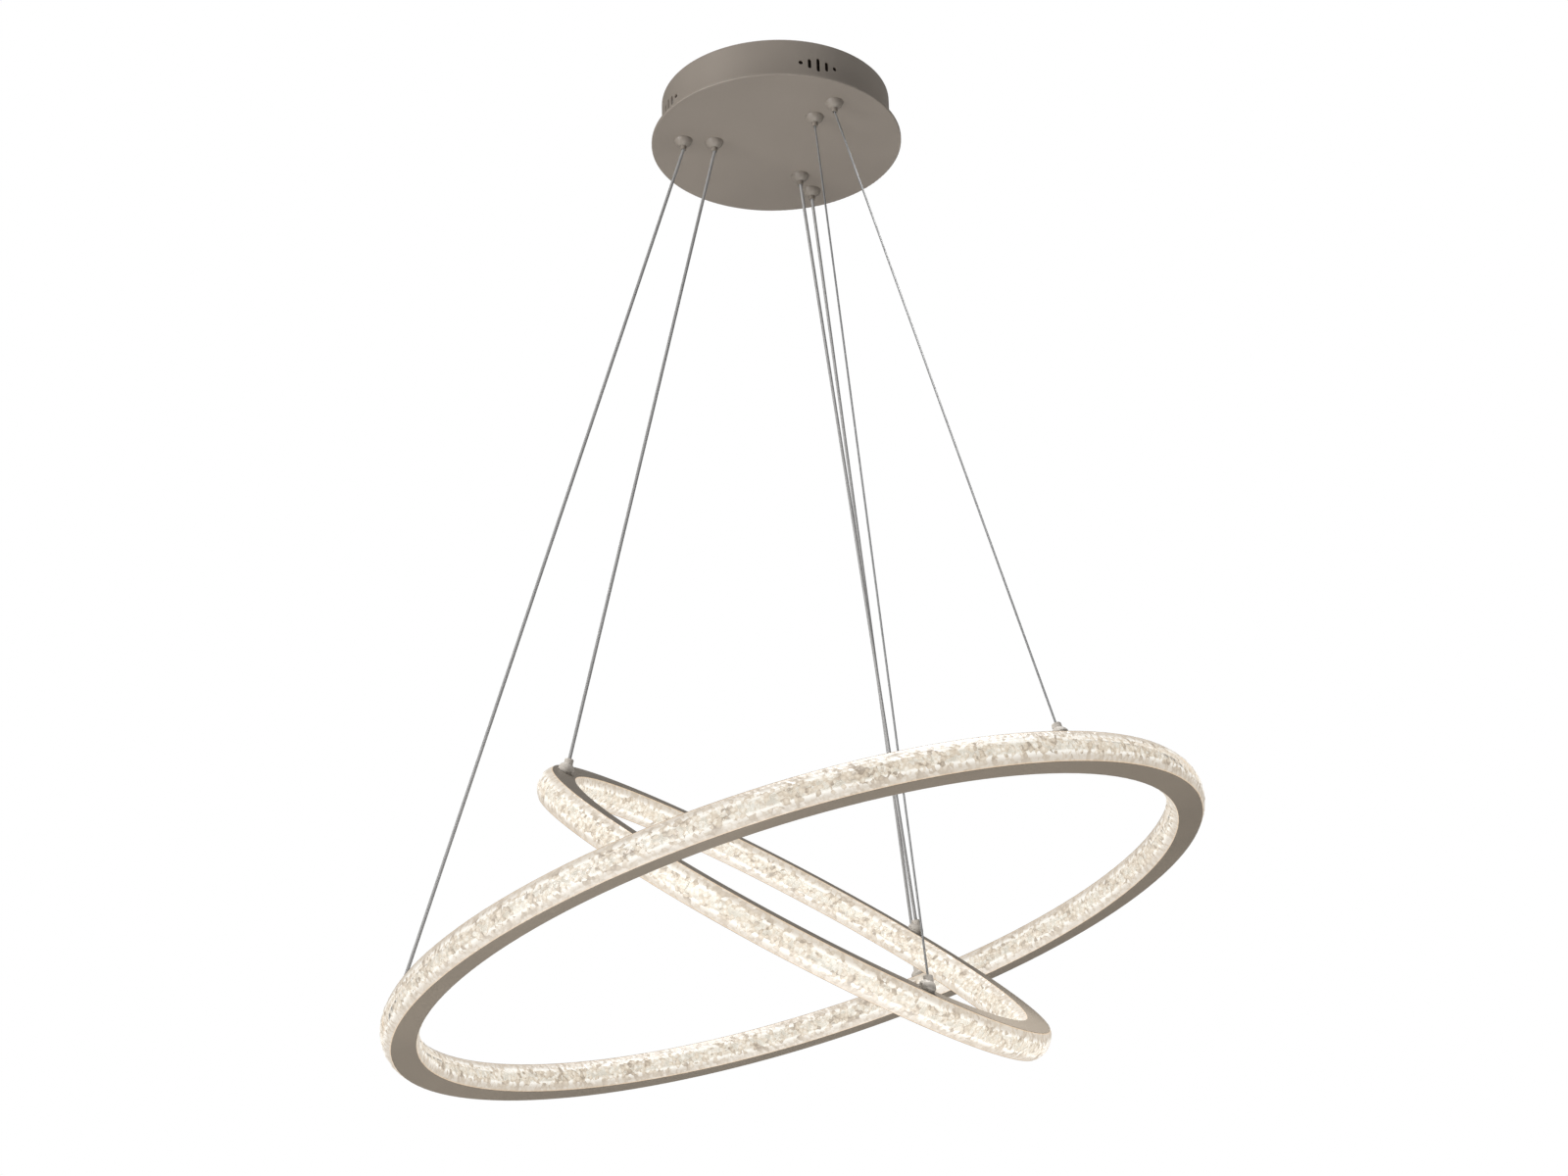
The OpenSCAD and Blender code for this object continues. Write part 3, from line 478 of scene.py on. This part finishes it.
def gripper_spring(ring, wire):
    """A coil from the balls up to the cap, which moves with the button."""
    name, button = f"spring_{ring}_{wire}", f"button_{ring}_{wire}"
    low, high = (Vector(corner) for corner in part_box(name))
    height = high.z - low.z
    deselect()
    bpy.ops.mesh.primitive_circle_add(
        vertices=COIL_SIDES, radius=COIL_WIRE / 2, rotation=(math.pi / 2, 0, 0),
        location=((low.x + high.x) / 2, (low.y + high.y) / 2, 0))
    piece = bpy.context.object
    piece.name = f"{ring}_{wire}_spring"
    bpy.ops.object.transform_apply(location=False, rotation=True, scale=True)
    bpy.ops.object.mode_set(mode="EDIT")
    bpy.ops.mesh.select_all(action="SELECT")
    bpy.ops.transform.translate(
        value=((high.x - low.x - COIL_WIRE) / 2, 0, low.z + COIL_WIRE / 2))
    bpy.ops.object.mode_set(mode="OBJECT")
    bpy.ops.object.modifier_add(type="SCREW")
    turn = piece.modifiers[0]
    turn.screw_offset = (height - COIL_WIRE) / COILS
    turn.iterations = COILS
    turn.steps = turn.render_steps = COIL_STEPS
    bpy.ops.object.modifier_apply(modifier=turn.name)
    bpy.ops.object.transform_apply(location=True, rotation=True, scale=True)
    bpy.ops.object.mode_set(mode="EDIT")
    bpy.ops.mesh.select_all(action="SELECT")
    bpy.ops.mesh.fill_holes(sides=COIL_SIDES)
    bpy.ops.mesh.select_all(action="SELECT")
    bpy.ops.mesh.normals_make_consistent(inside=False)
    bpy.ops.object.mode_set(mode="OBJECT")
    bpy.ops.object.shade_smooth_by_angle(angle=math.radians(SMOOTH_BELOW))
    dress(piece, materials["zinc"])
    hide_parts(name)
    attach(piece, button)
    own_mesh(piece)


# Dressing the frame's nodes and adding the new pieces
for part in frame["record"]["subparts"]:
    if part["material_slot"] in materials:
        dress(nodes[part["node"]], materials[part["material_slot"]])

crystals = {ring: (crystal_face(ring), crystal_glow(ring)) for ring in RINGS}
for ring in RINGS:
    for face in FACES:
        diffuser(ring, face)
    for wire in WIRES:
        gripper_spring(ring, wire)


# The studio
FLOOR_SIZE, FLOOR_Z = 60, -2.3
FLOOR_DARK, FLOOR_LIGHT = (0.84, 0.84, 0.84, 1), (0.86, 0.86, 0.86, 1)
FLOOR_GLOW = 0.75         # the share of the floor's own glow in what the camera sees
PATCH_RADIUS, PATCH_Z = 90 * MM, 0.4 * MM
# the near black of the patch is painted shade, for the shadow inside the canopy
PAINTED_SHADE_TONE = (0.02, 0.018, 0.016, 1)
WORLD_SHOWN, WORLD_LIT = 1.0, 0.17
SPOT_BLEND = 0.9

# The lamps: size in m, power in W, and the cone of a spot in degrees
LAMPS = {
    "key_light": {"place": (-2.7, -2.1, -0.3), "aim": (0, 0, -0.3), "size": 1.4, "power": 108},
    "low_light": {"place": (0.0, -0.2, -2.2), "aim": (0, 0, -0.3), "size": 2.2, "power": 32},
    "top_light": {"place": (0.35, 0.0, 2.4), "aim": (0, 0, -0.6), "size": 2.2, "power": 100},
    "ring_light": {"place": (0.25, -0.1, 1.2), "aim": (0.15, -0.04, -0.74), "size": 0.1,
                   "power": 370, "cone": 9},
}

# The photograph's camera, as its outlines gave it: pixels, degrees and metres
PHOTO_WIDTH, PHOTO_FOCAL = 1600, 3164.6
SENSOR_WIDTH = 36
CAMERA_PITCH, CAMERA_ROLL = 24.6, 1.56
CAMERA_PLACE = (-3.6 * MM, -2113.2 * MM, -1396.0 * MM)
CAMERA_SIGHT = 60


def studio_floor():
    """A pale floor, which stays pale to the camera far from the lights."""
    deselect()
    bpy.ops.mesh.primitive_plane_add(size=FLOOR_SIZE, location=(0, 0, FLOOR_Z))
    floor = bpy.context.object
    floor.name = "studio_floor"
    material, s = new_material("pale_floor")
    tone = s.effect(CLOUDS, Place=s.coordinates(), Scale=2, Dark=FLOOR_DARK,
                    Light=FLOOR_LIGHT)["Colour"]
    paint, glow = s.node("BsdfDiffuse"), s.node("Emission")
    s.link(tone, paint.inputs["Color"])
    s.link(tone, glow.inputs["Color"])
    seen = s.math("MULTIPLY", s.camera_ray(), FLOOR_GLOW)
    s.seen_and_real(seen, glow.outputs[0], paint.outputs[0])
    dress(floor, material)


def painted_shade_patch():
    """A dark patch at the ceiling in the canopy's open top, painted shade for the shadow inside the canopy, which
    shows only from below.
    """
    deselect()
    bpy.ops.mesh.primitive_circle_add(vertices=64, radius=PATCH_RADIUS, fill_type="NGON",
                                      location=(0, 0, PATCH_Z))
    patch = bpy.context.object
    patch.name = "painted_shade_patch"
    material, s = new_material("ceiling_shade")
    shade = s.node("BsdfDiffuse")
    shade.inputs["Color"].default_value = PAINTED_SHADE_TONE
    # painted shade for camera rays that meet it from below; all other light passes through
    below = s.node("NewGeometry").outputs["Backfacing"]
    seen = s.math("MULTIPLY", below, s.camera_ray())
    s.seen_and_real(seen, shade.outputs[0], s.node("BsdfTransparent").outputs[0])
    dress(patch, material)


def soft_lamp(name, place, aim, size, power, cone=None):
    """A round soft light, or with a cone a soft spot that lights only what is in it."""
    deselect()
    bpy.ops.object.light_add(type="SPOT" if cone else "AREA", location=place)
    lamp = bpy.context.object
    lamp.name = name
    lamp.data.energy = power
    if cone:
        lamp.data.shadow_soft_size = size / 2
        lamp.data.spot_size = math.radians(cone)
        lamp.data.spot_blend = SPOT_BLEND
    else:
        lamp.data.shape = "DISK"
        lamp.data.size = size
    aimed = (Vector(aim) - Vector(place)).to_track_quat("-Z", "Y")
    lamp.rotation_euler = aimed.to_euler()
    lamp.visible_camera = False


def white_world():
    """The background is white, and what it sheds on the object is dimmer."""
    world = bpy.data.worlds.new("studio_white")
    bpy.context.scene.world = world
    world.use_nodes = True
    world.node_tree.nodes.clear()
    s = Shader(world.node_tree)
    backs = []
    for strength in (WORLD_SHOWN, WORLD_LIT):
        back = s.node("Background")
        back.inputs["Color"].default_value = (1, 1, 1, 1)
        back.inputs["Strength"].default_value = strength
        backs.append(back.outputs[0])
    s.seen_and_real(s.camera_ray(), *backs, output="OutputWorld")


def photo_camera():
    """The photograph's camera: below the rings, looking up at the canopy."""
    deselect()
    bpy.ops.object.camera_add()
    camera = bpy.context.object
    camera.name = "photo_camera"
    camera.data.sensor_width = SENSOR_WIDTH
    camera.data.lens = SENSOR_WIDTH * PHOTO_FOCAL / PHOTO_WIDTH
    camera.data.clip_end = CAMERA_SIGHT
    pitch, roll = math.radians(CAMERA_PITCH), math.radians(CAMERA_ROLL)
    forward = Vector((0, math.cos(pitch), math.sin(pitch)))
    up = Vector((0, -math.sin(pitch), math.cos(pitch)))
    right = Vector((1, 0, 0))
    lean = Matrix.Rotation(roll, 3, forward)
    right, up = lean @ right, lean @ up
    turn = Matrix((right, up, -forward)).transposed()
    camera.matrix_world = Matrix.Translation(CAMERA_PLACE) @ turn.to_4x4()
    bpy.context.scene.camera = camera


bpy.context.scene.view_settings.view_transform = "Standard"
studio_floor()
painted_shade_patch()
white_world()
for name, lamp in LAMPS.items():
    soft_lamp(name, **lamp)
photo_camera()
